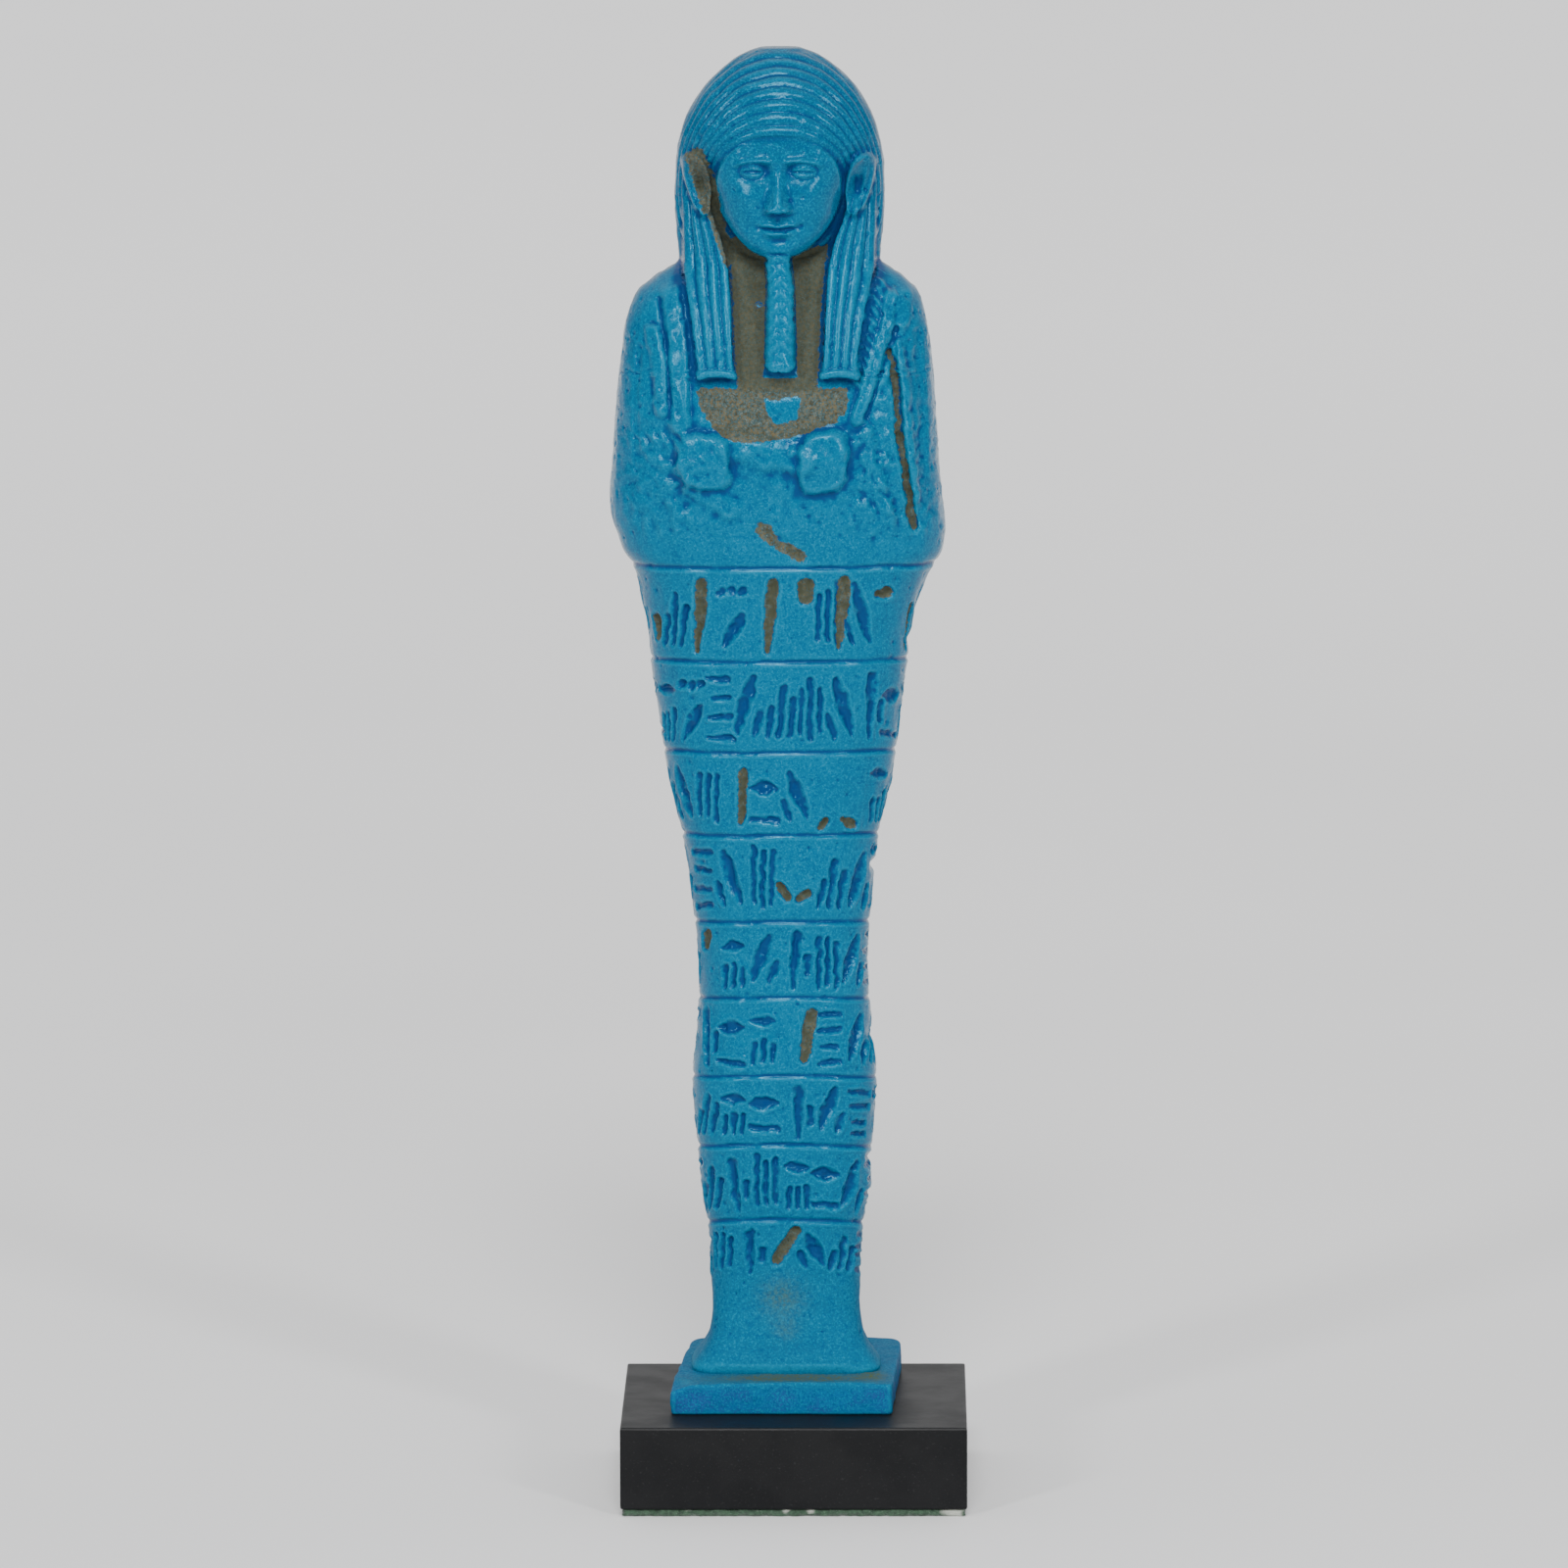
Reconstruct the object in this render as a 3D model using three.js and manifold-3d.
// A mummiform funerary figurine of blue glazed faience on its small black display block.
// Millimetres, +Z up, the figurine faces -Y. The origin is the middle of the felt's underside.
import * as THREE from "three";
import { mergeVertices } from "three/addons/utils/BufferGeometryUtils.js";
import Module from "manifold-3d";

// Felt and block
const FELT_THICKNESS = 1.1;
const FELT_INSET = 0.25;
const BLOCK_WIDTH = 48.3;
const BLOCK_DEPTH = 42;
const BLOCK_HEIGHT = 11.6;
const BLOCK_BEVEL = 0.3;

// The figurine's own slab underfoot, and where it stands: the spare block is shared out round it
const SLAB_WIDTH = 31;
const SLAB_DEPTH = 32;
const SLAB_THICKNESS = 4.2;
const SLAB_SKEW = 2;
const SLAB_BACK_TUCK = 0.5;
const SLAB_FRONT_RADIUS = 0.7;
const SLAB_BACK_RADIUS = 3.6;
const LEFT_SHARE = 0.395;
const FRONT_SHARE = 0.83;

// The figure above its slab. All its form is drawn at CROWN units tall, and scaled to its height.
const FIGURE_HEIGHT = 185.8;
const CROWN = 185.8;
const UNIT = FIGURE_HEIGHT / CROWN;

// Materials
const GLAZE = new THREE.MeshStandardMaterial({ color: 0x0a83a8, roughness: 0.38, metalness: 0 });
const LACQUER = new THREE.MeshStandardMaterial({ color: 0x17181a, roughness: 0.55, metalness: 0 });
const BAIZE = new THREE.MeshStandardMaterial({ color: 0x24402c, roughness: 1, metalness: 0 });

// Small helpers
const clamp = (t) => Math.min(1, Math.max(0, t));
const smooth = (from, to, t) => {
  const s = clamp((t - from) / (to - from));
  return s * s * (3 - 2 * s);
};
const mix = (a, b, t) => a + (b - a) * t;
const bump = (x, z, cx, cz, rx, rz) => Math.exp(-(((x - cx) / rx) ** 2) - ((z - cz) / rz) ** 2);

// A monotone cubic through [place, value] knots in rising order, which never bulges past them.
function curve(...knots) {
  const last = knots.length - 1;
  const slope = knots.slice(1).map(([at, value], i) => (value - knots[i][1]) / (at - knots[i][0]));
  const tangent = knots.map((_, i) => {
    if (i === 0 || i === last) return slope[Math.min(i, last - 1)];
    const [a, b] = [slope[i - 1], slope[i]];
    return a * b <= 0 ? 0 : (2 * a * b) / (a + b);
  });
  return (t) => {
    if (t <= knots[0][0]) return knots[0][1];
    if (t >= knots[last][0]) return knots[last][1];
    const i = knots.findIndex(([at]) => at > t) - 1;
    const span = knots[i + 1][0] - knots[i][0];
    const s = (t - knots[i][0]) / span;
    return (
      knots[i][1] * (1 + 2 * s) * (1 - s) ** 2 +
      knots[i + 1][1] * s * s * (3 - 2 * s) +
      span * (tangent[i] * s * (1 - s) ** 2 - tangent[i + 1] * s * s * (1 - s))
    );
  };
}

// How a section falls away from its middle, 1, to its side, 0
const arch = (share, power) => (1 - Math.min(1, Math.abs(share)) ** power) ** (1 / power);

// Heights on the drawn figure, from the sole, which is sunk a little into the slab
const SOLE = -1;
const HAIRLINE = 174.3;
const WIG_SHOULDER = 156.6;
const WIG_BACK_END = 151.5;
const LAPPET_END = 141;
const BEARD_END = 141.9;
const RULES = [114.8, 101.5, 88.6, 76.8, 64.4, 53.6, 42.5, 32.5, 21.6];

// The face's places, by the usual canon: five eyes wide, its eyes three and a half of their widths
// above the chin, and two equal thirds from chin to nose and nose to brow. The wig's edge lies
// half way up the third one.
const FACE_HALF = 8.9;
const EYE_WIDTH = (2 * FACE_HALF) / 5;
const THIRD = 1.93 * EYE_WIDTH;
const CHIN = HAIRLINE - 2.5 * THIRD;
const NOSE_BASE = CHIN + THIRD;
const BROW = NOSE_BASE + THIRD;
const EYE = CHIN + 3.5 * EYE_WIDTH;
const MOUTH = NOSE_BASE - THIRD / 3;

// The outline seen from the front, and its drift to one side
const halfWidth = curve(
  [-1, 12.4], [0.3, 13.3], [1.2, 12.9], [3, 11.7], [5.5, 10.8], [9.8, 10.4], [18, 10.6], [26.7, 11.7],
  [35.1, 12.5], [41.4, 12.9], [47.7, 12.4], [58, 11.8], [68.7, 12.7], [77, 13.8], [85.4, 15.7], [93.7, 16.8],
  [102, 18], [106.2, 18.4], [110.3, 19.4], [112.5, 20.1], [114.8, 21.2], [116.9, 22.5], [121, 23.2],
  [130, 22.6], [139, 22], [145.5, 21.3], [149.9, 20.3], [152.1, 19.4], [154.3, 17], [WIG_SHOULDER, 14],
  [160.8, 14.35], [165, 14.55], [169.6, 14.45], [173.8, 13.8], [176, 13.1], [178.2, 12], [180.5, 10.5],
  [183, 7.9], [184.5, 5.9], [185.3, 4.3], [CROWN, 2.9],
);
const drift = curve(
  [0, 0.6], [50, 0.4], [80, 0], [108, -0.1], [114.8, 0.5], [118, 0.2], [123, -0.5], [148, -0.4], [157, 0.1],
  [CROWN, 0.2],
);

// Depths in front of and behind the middle plane, seen from the side
const bodyFront = curve(
  [-1, 7.4], [0.3, 8.3], [1.2, 8.1], [3.5, 7.1], [7, 6.2], [10, 5.8], [16, 5.9], [26, 6.9], [36, 7.9], [43, 8.4],
  [51, 8.2], [60, 8], [71, 8.8], [86, 9.8], [101, 10.8], [114, 11.8], [122, 12.5], [129, 12.7], [136, 12.1],
  [142, 11], [148, 9.9], [152, 8.4], [154.5, 6.4], [157, 3.6], [160, 0],
);
const bodyBack = curve(
  [-1, 10], [3, 9], [10, 8.3], [20, 8.3], [31, 8.8], [43, 9.3], [60, 8.7], [76, 9.2], [86, 9.6], [96, 9.8],
  [106, 10.2], [115, 11], [119, 11.7], [126, 12], [136, 12], [146, 11.4], [152, 10], [154.5, 8], [157, 5], [160, 0],
);
const frontPower = curve([1, 6], [4, 4.2], [9, 2.8], [15, 2.3], [90, 2.3], [116, 2.6], [150, 2.6], [160, 2.3]);
const backPower = curve([90, 2.3], [116, 2.6], [150, 2.6], [160, 2.3]);
const hairFront = curve(
  [156, 6], [160, 6.2], [165, 6.8], [168, 8.2], [170, 9.8], [172, 11.2], [HAIRLINE, 11.9], [178, 10.9],
  [181, 9.1], [183.2, 6.8], [184.5, 4.9], [185.3, 3.6], [CROWN, 2.4],
);
const hairBack = curve(
  [WIG_BACK_END, 13.8], [158, 13.9], [166, 14], [173, 13.4], [178, 11.8], [181, 9.8], [183.2, 7.4], [184.5, 5.4],
  [185.3, 3.9], [CROWN, 2.6],
);
const PILLAR_BACK = 13.4;
const pillarHalf = curve([0, 5.4], [60, 5.6], [WIG_BACK_END, 6.9]);

// The wig's two fluted lappets, from behind the ears down to the chest: edges, front and flutes
const LAPPET_TOP = 168;
const lappetInner = curve(
  [LAPPET_END, 5.75], [150, 6.2], [155, 6.5], [158, 7], [160, 7.6], [163, 8.7], [LAPPET_TOP, 9.3],
);
const lappetOuter = curve([LAPPET_END, 11], [146, 11.7], [150, 12.4], [154, 13.2], [157, 13.5], [LAPPET_TOP, 13.8]);
const lappetFront = curve(
  [LAPPET_END, 13], [146, 12.3], [150, 11.3], [154, 9.6], [158, 7.9], [163, 6.6], [LAPPET_TOP, 5.4],
);
const lappetFall = curve([LAPPET_END, 0.5], [150, 1.4], [155, 2.6], [163, 3.2]);
const FLUTE_GROOVES = 2;
const FLUTE_DEPTH = 0.4;

function lappetFrontAt(x, z) {
  const [inner, outer] = [lappetInner(z), lappetOuter(z)];
  const across = (Math.abs(x) - inner) / (outer - inner);
  if (z < LAPPET_END || z > LAPPET_TOP || across < 0 || across > 1) return 0;
  const flute = (FLUTE_DEPTH * (1 - Math.cos(2 * Math.PI * FLUTE_GROOVES * across))) / 2;
  return lappetFront(z) - lappetFall(z) * across ** 3 - flute * (1 - smooth(162, 166, z));
}

// The plaited beard from the chin to the chest, and the hollow throat it hangs in
const beardHalf = curve([BEARD_END, 2.05], [CHIN, 1.7]);
const beardFront = curve([BEARD_END, 13.6], [149, 12.9], [CHIN, 11.8]);
const throatFront = curve([150, 8], [153, 7.9], [156, 6.9], [160, 5], [165, 4.2]);

function beardFrontAt(x, z) {
  const across = Math.abs(x) / beardHalf(z);
  if (z < BEARD_END || z > CHIN + 1 || across > 1) return 0;
  return beardFront(z) - 0.7 * across ** 4;
}

const throatFrontAt = (x, z) => (Math.abs(x) < lappetInner(z) && z > 150 && z < 166 ? throatFront(z) : 0);

// An ear: a raised leaning oval with a rim and a hollow
const EAR = { x: 11.2, halfWidth: 1.8, halfHeight: 4.4, lean: 0.3, rise: 1.4, hollow: 1 };
function earRelief(x, z) {
  const up = z - (BROW + NOSE_BASE) / 2;
  const out = Math.abs(x) - EAR.x - EAR.lean * up;
  const ring = Math.hypot(out / EAR.halfWidth, up / EAR.halfHeight);
  return EAR.rise * (1 - smooth(0.75, 1.15, ring)) - EAR.hollow * (1 - smooth(0.15, 0.65, ring));
}

// The wig's round top, its front ribbed with hoops that fade towards the sides
const HOOP_DEPTH = 0.45;
const HOOPS = [175.9, 177.9, 179.7, 181.4, 182.9];
const hoopAt = (z) => (HOOPS.some((hoop) => Math.abs(hoop - z) < 1e-6) ? HOOP_DEPTH : 0);

function hairFrontAt(x, z) {
  if (z < WIG_SHOULDER) return 0;
  const share = x / halfWidth(z);
  return hairFront(z) * arch(share, 2.2) - hoopAt(z) * (1 - smooth(0.5, 0.95, Math.abs(share)));
}

// The face: a plain calm one inside an egg-shaped outline, widest a little below the eyes
const FACE_MIDDLE = CHIN + 1.38 * THIRD;
const FACE_SIDE_FRONT = 4.6;
const faceProfile = curve(
  [CHIN, 10], [CHIN + 1, 11.2], [MOUTH, 11.5], [NOSE_BASE, 11.9], [EYE, 12], [BROW, 12], [HAIRLINE, 11.4],
);

function faceReach(x, z) {
  const up = z - FACE_MIDDLE;
  const tall = up > 0 ? HAIRLINE - FACE_MIDDLE : FACE_MIDDLE - CHIN;
  return Math.hypot(x / FACE_HALF, up / tall);
}

function faceRelief(x, z) {
  const side = Math.abs(x);
  const down = smooth(BROW, NOSE_BASE + 0.5, z) * smooth(NOSE_BASE - 0.6, NOSE_BASE + 0.2, z);
  const nose = 2 * down * Math.exp(-((side / mix(1.5, 0.8, smooth(NOSE_BASE, BROW, z))) ** 2));
  const wings = 0.6 * bump(side, z, 1.25, NOSE_BASE + 0.5, 0.55, 0.7);
  const brow = 0.4 * bump(side, z, EYE_WIDTH, BROW + 0.2, 2.6, 0.6);
  const socket = -0.9 * bump(side, z, EYE_WIDTH - 0.3, EYE, 2.3, 1.3);
  const lids = 0.8 * bump(side, z, EYE_WIDTH, EYE - 0.1, 1.5, 0.7);
  const lips = 0.5 * bump(side, z, 0, MOUTH + 0.5, 1.9, 0.45) + 0.55 * bump(side, z, 0, MOUTH - 0.6, 1.5, 0.5);
  const mouth = -0.35 * bump(side, z, 0, MOUTH, 2.3, 0.3);
  const chin = 0.4 * bump(side, z, 0, CHIN + 1.4, 2.2, 1.1);
  return nose + wings + brow + socket + lids + lips + mouth + chin;
}

function faceFrontAt(x, z) {
  const across = Math.min(1, Math.abs(x) / (1.06 * FACE_HALF));
  return mix(FACE_SIDE_FRONT, faceProfile(z), (1 - across ** 2.4) ** 0.5) + faceRelief(x, z);
}

// Fists, tool handles, hoe blades and arm folds on the chest: straight strokes raised or cut.
// Each runs from one point to another, with its half width and its rise.
const FISTS = [
  { x: -10.6, z: 129.6, halfWidth: 4.1, halfHeight: 3.9, tilt: -0.12, rise: 1.5 },
  { x: 6.1, z: 130, halfWidth: 3.7, halfHeight: 4.6, tilt: 0.14, rise: 1.5 },
];
const CARVED = [
  { from: [-14.3, 151], to: [-13.4, 134], half: 1.7, rise: 0.75 },
  { from: [-18.6, 143], to: [-17, 147], half: 1.9, rise: 0.5 },
  { from: [15, 151], to: [10.4, 135], half: 1.4, rise: 0.75 },
  { from: [17.6, 149.5], to: [16.8, 145.5], half: 1.8, rise: 0.5 },
  { from: [-12, 126.2], to: [-6.5, 122.8], half: 1.6, rise: 0.4 },
  { from: [-6.5, 131.5], to: [4, 129], half: 2.4, rise: 0.6 },
  { from: [15.5, 143.8], to: [18.7, 119.7], half: 0.8, rise: -0.8 },
  { from: [-17.2, 141], to: [-16.2, 125], half: 0.9, rise: -0.5 },
];

function carvedRelief(x, z) {
  let relief = 0;
  for (const { x: cx, z: cz, halfWidth: hw, halfHeight: hh, tilt, rise } of FISTS) {
    const across = Math.abs(x - cx) / hw;
    const up = Math.abs(z - cz - tilt * (x - cx)) / hh;
    const knuckles = 0.75 + 0.25 * (1 - across ** 2);
    relief += rise * knuckles * (1 - smooth(0.85, 1.08, across)) * (1 - smooth(0.88, 1.08, up));
  }
  for (const { from, to, half, rise } of CARVED) {
    const run = [to[0] - from[0], to[1] - from[1]];
    const along = clamp(((x - from[0]) * run[0] + (z - from[1]) * run[1]) / (run[0] ** 2 + run[1] ** 2));
    const away = Math.hypot(x - from[0] - along * run[0], z - from[1] - along * run[1]);
    relief += rise * (1 - smooth(0.45 * half, 1.15 * half, away));
  }
  return relief;
}

// The ruled lines between the rows of the inscription, round the front and the sides
const RULE_DEPTH = 0.4;
const RULE_HALF = 0.5;
const ruleDroop = curve([0, 1.7], [CROWN, 0]);
const isRule = (z) => RULES.some((rule) => Math.abs(rule - z) < 1e-6);
const groove = (z) => (isRule(z) ? RULE_DEPTH : 0);

function frontDepth(x, z) {
  const body = (bodyFront(z) - groove(z)) * arch(x / halfWidth(z), frontPower(z));
  const chest = body + carvedRelief(x, z) * smooth(0, 3, body);
  const hair = Math.max(hairFrontAt(x, z), lappetFrontAt(x, z)) + earRelief(x, z);
  const framed = Math.max(chest, hair, throatFrontAt(x, z));
  const inFace = 1 - smooth(0.94, 1.06, faceReach(x, z));
  return Math.max(0, mix(framed, faceFrontAt(x, z), inFace), beardFrontAt(x, z));
}

function backDepth(x, z) {
  const share = x / halfWidth(z);
  const body = (bodyBack(z) - groove(z)) * arch(share, backPower(z));
  const hair = z >= WIG_BACK_END ? hairBack(z) * arch(x / Math.min(14.2, halfWidth(z)), 2.5) : 0;
  const pillar = z < WIG_BACK_END && Math.abs(x) < pillarHalf(z) ? PILLAR_BACK : 0;
  return Math.max(0, body, hair, pillar);
}

// Where the mesh's lines run across the figure: they keep to the edges of what is carved there
const EDGE = 0.14;
const FRONT_STEPS = 18;
const BACK_STEPS = 8;
const HEAD_SHARES = [
  0, 0.06, 0.117, 0.165, 0.22, 0.285, 0.355, 0.43, 0.5, 0.57, 0.62, 0.68, 0.745, 0.81, 0.865, 0.915, 0.955, 0.985, 1,
];
const fan = (from, to, steps) =>
  Array.from({ length: steps }, (_, i) => mix(from, to, Math.sin((Math.PI / 2) * ((i + 1) / steps))));

function frontColumns(z, steps) {
  const wide = halfWidth(z);
  const round = [0, ...fan(0, wide, steps)];
  if (steps < FRONT_STEPS) return round;
  const [beard, inner, outer] = [beardHalf(z), lappetInner(z), lappetOuter(z)];
  const chest = [
    0, beard * 0.55, beard - EDGE, beard + EDGE, mix(beard, inner, 0.35), mix(beard, inner, 0.7),
    inner - EDGE, inner + EDGE, mix(inner, outer, 0.25), mix(inner, outer, 0.5), mix(inner, outer, 0.75),
    outer - EDGE, outer + EDGE, ...fan(outer + EDGE, wide, 6),
  ];
  const head = HEAD_SHARES.map((share) => share * wide);
  const [toChest, toHead] = [smooth(116, 123, z), smooth(162.5, 166, z)];
  return round.map((x, i) => mix(mix(x, chest[i], toChest), head[i], toHead));
}

function backColumns(z, steps) {
  const wide = halfWidth(z);
  const pillar = pillarHalf(z);
  const inside = steps < BACK_STEPS ? [0] : [0, pillar * 0.35, pillar * 0.7];
  const edges = [...inside, pillar - EDGE, pillar + EDGE];
  const body = [...edges, ...fan(pillar + EDGE, wide, steps + 1 - edges.length)];
  const round = [0, ...fan(0, wide, steps)];
  return body.map((x, i) => mix(x, round[i], smooth(WIG_BACK_END, 154, z)));
}

// One ring of points, from the right side round the back, the left side and the front
function ring(z, frontSteps, backSteps) {
  const wide = halfWidth(z);
  const [front, back] = [frontColumns(z, frontSteps), backColumns(z, backSteps)];
  const behind = [...back.slice(1).reverse(), ...back.map((x) => -x)].slice(0, -1);
  const before = [...front.slice(1).reverse().map((x) => -x), ...front].slice(0, -1);
  const droop = z < RULES[0] + 1 ? ruleDroop(z) * smooth(1, 12, z) : 0;
  const place = (x, depth, side) => {
    const share = x / wide;
    const fall = side < 0 ? 1 - Math.sqrt(Math.max(0, 1 - share ** 2)) : 1;
    return [x + drift(z) * share ** 2, side * depth, z - droop * fall];
  };
  return [
    ...behind.map((x) => place(x, Math.abs(x) < wide ? backDepth(x, z) : 0, 1)),
    ...before.map((x) => place(x, Math.abs(x) < wide ? frontDepth(x, z) : 0, -1)),
  ];
}

// Heights of the rings: three to a ruled line, and close together where the carving is fine
function legHeights() {
  const heights = [SOLE, 0.3, 1.3, 3, 5.5, 9, 13.5, 17.5];
  for (const [i, rule] of [...RULES].reverse().entries()) {
    const next = RULES[RULES.length - 2 - i];
    if (i < RULES.length - 1) {
      heights.push(rule - RULE_HALF, rule, rule + RULE_HALF, mix(rule, next, 0.37), mix(rule, next, 0.68));
    }
  }
  return heights;
}
const CHEST_HEIGHTS = [
  RULES[0] - RULE_HALF, RULES[0], RULES[0] + RULE_HALF, 116.5, 118.5, 121, 123.5, 125.2, 126.2, 128, 130, 132, 133.4,
  134.6, 136.5, 138.7, LAPPET_END - EDGE, LAPPET_END + EDGE, BEARD_END - EDGE, BEARD_END + EDGE, 143.8, 146, 148, 149.8,
  WIG_BACK_END - EDGE, WIG_BACK_END + EDGE, 153, 154.5, 155.7,
];
const HEAD_HEIGHTS = [
  CHIN - 0.6, CHIN + 0.2, CHIN + 1.1, CHIN + 2.4, MOUTH - 0.6, MOUTH, MOUTH + 0.5, NOSE_BASE - 0.6, NOSE_BASE + 0.2,
  NOSE_BASE + 1.2, NOSE_BASE + 2.5, NOSE_BASE + 3.8, EYE - 0.8, EYE, EYE + 0.7, BROW + 0.3, 172.2, 173.2,
  HAIRLINE - 0.35, HAIRLINE + 0.35,
  ...HOOPS.flatMap((hoop, i) => [hoop, mix(hoop, HOOPS[i + 1] ?? 184.5, 0.5)]), 184.5, 185.3,
];

// The shell between rings, where a ring may have half as many points as the one above it
function figureGeometry() {
  const rings = [
    ...legHeights().map((z) => ring(z, FRONT_STEPS / 2, BACK_STEPS / 2)),
    ...[...CHEST_HEIGHTS, ...HEAD_HEIGHTS].map((z) => ring(z, FRONT_STEPS, BACK_STEPS)),
  ];
  const starts = [];
  let count = 0;
  for (const points of rings) {
    starts.push(count);
    count += points.length;
  }
  const positions = rings.flat();
  const faces = [];
  const distance = (a, b) => Math.hypot(...positions[a].map((value, i) => value - positions[b][i]));
  rings.slice(1).forEach((upper, k) => {
    const lower = rings[k];
    const at = (ringIndex, i) => starts[ringIndex] + (i % rings[ringIndex].length);
    for (let i = 0; i < lower.length; i += 1) {
      const [a, b] = [at(k, i), at(k, i + 1)];
      if (upper.length === lower.length) {
        const [c, d] = [at(k + 1, i + 1), at(k + 1, i)];
        if (distance(a, c) <= distance(b, d)) faces.push([a, b, c], [a, c, d]);
        else faces.push([a, b, d], [b, c, d]);
      } else {
        const [d, middle, c] = [at(k + 1, 2 * i), at(k + 1, 2 * i + 1), at(k + 1, 2 * i + 2)];
        faces.push([a, b, middle], [a, middle, d], [b, c, middle]);
      }
    }
  });
  const sole = positions.push([0, 0, rings[0][0][2]]) - 1;
  rings[0].forEach((_, i) => faces.push([(i + 1) % rings[0].length, i, sole]));
  const crown = positions.push([0, 0, CROWN]) - 1;
  const top = starts.at(-1);
  rings.at(-1).forEach((_, i) => faces.push([top + i, top + ((i + 1) % rings.at(-1).length), crown]));
  const geometry = new THREE.BufferGeometry();
  geometry.setAttribute("position", new THREE.Float32BufferAttribute(positions.flat(), 3));
  geometry.setIndex(faces.flat());
  return geometry.scale(UNIT, UNIT, UNIT);
}

// The slab underfoot: a skewed plate with small radii in front and large ones behind
function slabGeometry() {
  const [w, d] = [SLAB_WIDTH / 2, SLAB_DEPTH / 2];
  const corners = [
    [-w, -d, SLAB_FRONT_RADIUS], [w, -d, SLAB_FRONT_RADIUS],
    [w + SLAB_SKEW - SLAB_BACK_TUCK, d, SLAB_BACK_RADIUS], [-w + SLAB_SKEW + SLAB_BACK_TUCK, d, SLAB_BACK_RADIUS],
  ];
  const outline = new THREE.Shape();
  corners.forEach(([x, y, radius], i) => {
    const towards = ([tx, ty]) => {
      const away = Math.hypot(tx - x, ty - y);
      return [x + ((tx - x) / away) * radius, y + ((ty - y) / away) * radius];
    };
    const from = towards(corners[(i + 3) % 4]);
    const to = towards(corners[(i + 1) % 4]);
    if (i === 0) outline.moveTo(...from);
    else outline.lineTo(...from);
    outline.quadraticCurveTo(x, y, ...to);
  });
  return new THREE.ExtrudeGeometry(outline, { depth: SLAB_THICKNESS, bevelEnabled: false, curveSegments: 5 });
}

// The display block: a box with its edges just broken
function blockGeometry() {
  const [w, d] = [BLOCK_WIDTH / 2 - BLOCK_BEVEL, BLOCK_DEPTH / 2 - BLOCK_BEVEL];
  const outline = new THREE.Shape([[-w, -d], [w, -d], [w, d], [-w, d]].map(([x, y]) => new THREE.Vector2(x, y)));
  const geometry = new THREE.ExtrudeGeometry(outline, {
    depth: BLOCK_HEIGHT - 2 * BLOCK_BEVEL,
    bevelThickness: BLOCK_BEVEL,
    bevelSize: BLOCK_BEVEL,
    bevelSegments: 2,
  });
  return geometry.translate(0, 0, BLOCK_BEVEL);
}

const feltGeometry = () =>
  new THREE.BoxGeometry(BLOCK_WIDTH - 2 * FELT_INSET, BLOCK_DEPTH - 2 * FELT_INSET, FELT_THICKNESS);

// Solids and meshes
const wasm = await Module();
wasm.setup();

function solidOf(geometry) {
  const bare = geometry.clone();
  bare.deleteAttribute("normal");
  bare.deleteAttribute("uv");
  const merged = mergeVertices(bare, 1e-4);
  const mesh = new wasm.Mesh({
    numProp: 3,
    vertProperties: merged.attributes.position.array,
    triVerts: new Uint32Array(merged.index.array),
  });
  return new wasm.Manifold(mesh);
}

function geometryOf(solid) {
  const mesh = solid.getMesh();
  const geometry = new THREE.BufferGeometry();
  geometry.setAttribute("position", new THREE.BufferAttribute(mesh.vertProperties, 3));
  geometry.setIndex(new THREE.BufferAttribute(mesh.triVerts, 1));
  geometry.computeVertexNormals();
  return geometry;
}

function named(name, geometry, material, x, y, z) {
  const mesh = new THREE.Mesh(geometry, material);
  mesh.name = name;
  mesh.position.set(x, y, z);
  return mesh;
}

// The inscription's place: rows of shallow wedge strokes that spell nothing. Each is set across
// the row as a share of the half width, runs from a narrow tail to a broad head, and leans.
const STROKE_DEPTH = 0.65;
const STROKE_MARGIN = 1.2;
const STROKE_TAIL = 0.4;
const LAST_ROW_FOOT = 13;
const STROKES = [
  { across: -0.7, tail: 0.05, head: 0.9, lean: 0.4, half: 1 },
  { across: -0.42, tail: 0.2, head: 0.7, lean: 3.4, half: 0.9 },
  { across: -0.14, tail: 0, head: 0.95, lean: 0.3, half: 1.1 },
  { across: 0.15, tail: 0.6, head: 0.5, lean: 3.8, half: 0.9 },
  { across: 0.42, tail: 0.05, head: 0.9, lean: 1.8, half: 1 },
  { across: 0.7, tail: 0.15, head: 0.75, lean: 0.4, half: 0.9 },
];

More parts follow.
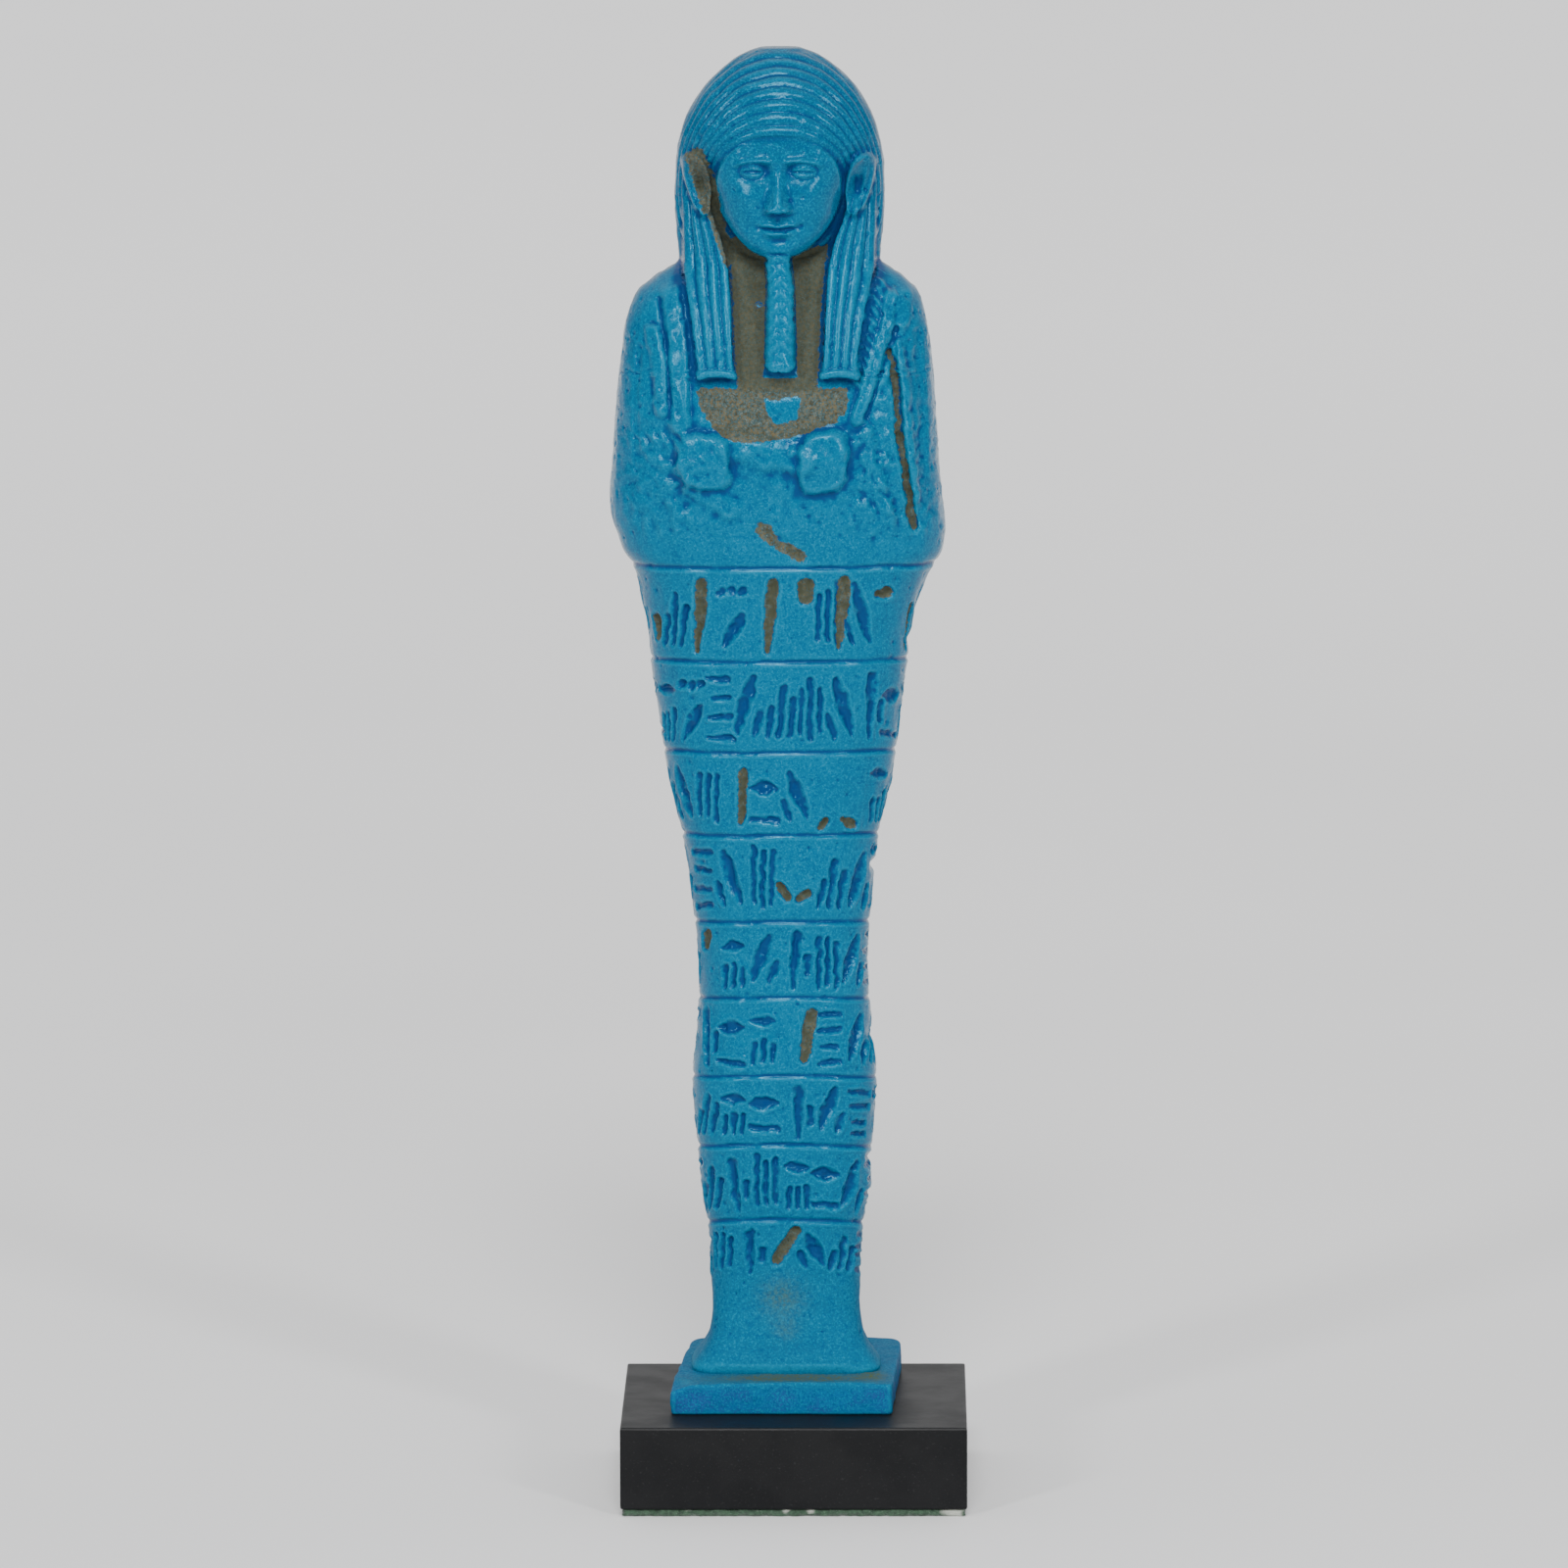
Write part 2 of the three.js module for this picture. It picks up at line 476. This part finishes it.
function strokeGeometry(row, { across, tail, head, lean, half }, facing) {
  const high = RULES[row] - STROKE_MARGIN;
  const low = (RULES[row + 1] ?? LAST_ROW_FOOT) + STROKE_MARGIN;
  const middle = (high + low) / 2;
  const x = across * facing * halfWidth(middle);
  const run = new THREE.Vector2(lean * facing, (head - tail) * (high - low));
  const length = run.length();
  const outline = new THREE.Shape(
    [[-STROKE_TAIL, 0], [STROKE_TAIL, 0], [half, length - half], [0, length], [-half, length - half]].map(
      ([side, along]) => new THREE.Vector2(side, along - length / 2),
    ),
  );
  const geometry = new THREE.ExtrudeGeometry(outline, { depth: 2, bevelEnabled: false });
  geometry.rotateZ(run.angle() - Math.PI / 2);
  geometry.rotateX(Math.PI / 2);
  geometry.translate(0, STROKE_DEPTH, 0);
  const z = mix(low, high, (head + tail) / 2);
  const surface = (atX, atZ) => bodyFront(atZ) * arch(atX / halfWidth(atZ), frontPower(atZ));
  geometry.rotateX(Math.atan(surface(x, z + 2) - surface(x, z - 2)) / 4);
  geometry.rotateZ(-Math.atan((surface(x + 0.5, z) - surface(x - 0.5, z)) / 1));
  const share = x / halfWidth(z);
  const fall = ruleDroop(z) * (1 - Math.sqrt(1 - share ** 2));
  return geometry.translate(x + drift(z) * share ** 2, -surface(x, z), z - fall).scale(UNIT, UNIT, UNIT);
}

function figureSolid() {
  const figure = solidOf(figureGeometry());
  const strokes = [];
  RULES.forEach((_, row) => {
    STROKES.forEach((stroke, i) => {
      if ((i + 2 * row) % 5 !== 4) strokes.push(solidOf(strokeGeometry(row, stroke, row % 2 ? 1 : -1)));
    });
  });
  const carved = strokes.reduce((solid, stroke) => solid.subtract(stroke), figure);
  return carved.translate(0, 0, SLAB_THICKNESS).add(solidOf(slabGeometry()));
}

// The whole part
const BLOCK_FOOT = FELT_THICKNESS;
const BLOCK_TOP = BLOCK_FOOT + BLOCK_HEIGHT;
const FIGURE_X = (BLOCK_WIDTH - SLAB_WIDTH) * (LEFT_SHARE - 0.5);
const FIGURE_Y = (BLOCK_DEPTH - SLAB_DEPTH) * (FRONT_SHARE - 0.5);

const part = new THREE.Group();
part.add(named("felt_pad", feltGeometry(), BAIZE, 0, 0, FELT_THICKNESS / 2));
part.add(named("display_block", blockGeometry(), LACQUER, 0, 0, BLOCK_FOOT));
part.add(named("ushabti", geometryOf(figureSolid()), GLAZE, FIGURE_X, FIGURE_Y, BLOCK_TOP));

export default part;
